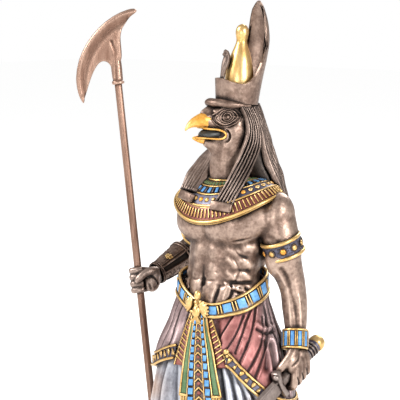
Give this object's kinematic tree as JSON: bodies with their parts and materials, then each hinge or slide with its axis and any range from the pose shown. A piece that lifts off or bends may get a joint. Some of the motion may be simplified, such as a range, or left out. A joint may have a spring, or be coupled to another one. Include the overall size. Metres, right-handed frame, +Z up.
{
  "type": "horus statuette",
  "caption": "Bronze-finished resin statuette of a standing falcon-headed Horus with double crown, collar and pleated kilt, holding a crescent-bladed staff and a short sword on a low plinth",
  "frame": {"origin": "centre of the plinth's underside, on the ground plane", "axes": "+Z up, the figure's chest faces -Y, its left hand is on the +X side"},
  "size_m": [0.1297, 0.0893, 0.2853],
  "materials": {
    "figure": "cold-cast resin with a rubbed bronze finish, hand-painted gold, blue, green and dark red",
    "plinth": "cold-cast resin with a dark rubbed bronze finish",
    "staff_shaft": "rubbed brown bronze finish, satin",
    "staff_blade": "rubbed bronze finish, brighter along the edge",
    "sword": "rubbed bronze finish with a gold-painted pommel"
  },
  "bodies": {
    "root": {"figure": "figure", "plinth": "plinth", "staff_shaft": "staff_shaft", "staff_blade": "staff_blade", "sword": "sword"}
  },
  "joints": []
}
